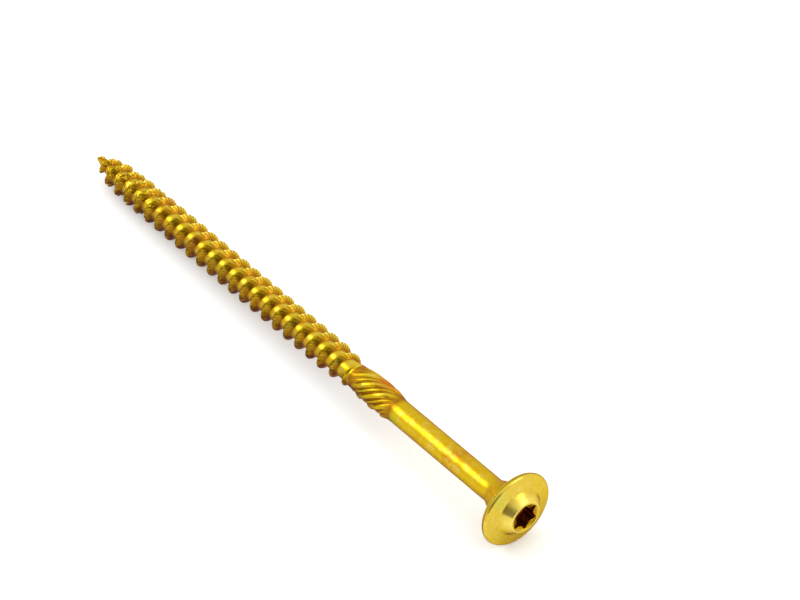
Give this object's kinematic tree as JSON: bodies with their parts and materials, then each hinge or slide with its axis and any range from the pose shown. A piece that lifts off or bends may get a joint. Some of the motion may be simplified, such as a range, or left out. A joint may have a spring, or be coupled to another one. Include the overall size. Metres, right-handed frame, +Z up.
{
  "type": "cabinet screw",
  "caption": "Long cabinet installation screw with a washer head, a star-shaped drive recess, a plain shank, a ribbed shank cutter and a coarse wood thread that runs to a sharp point.",
  "frame": {"origin": "centre of the bounding box in plan, on the surface that the screw lies on", "axes": "+X along the screw towards its head, +Z up, +Y to the left of that direction; the screw lies with its axis tilted by about 2 degrees, on the rim of its head and on the first full thread crest"},
  "size_m": [0.0822, 0.0092, 0.0093],
  "materials": {
    "zinc": "satin"
  },
  "bodies": {
    "root": {"screw": "zinc"}
  },
  "joints": []
}
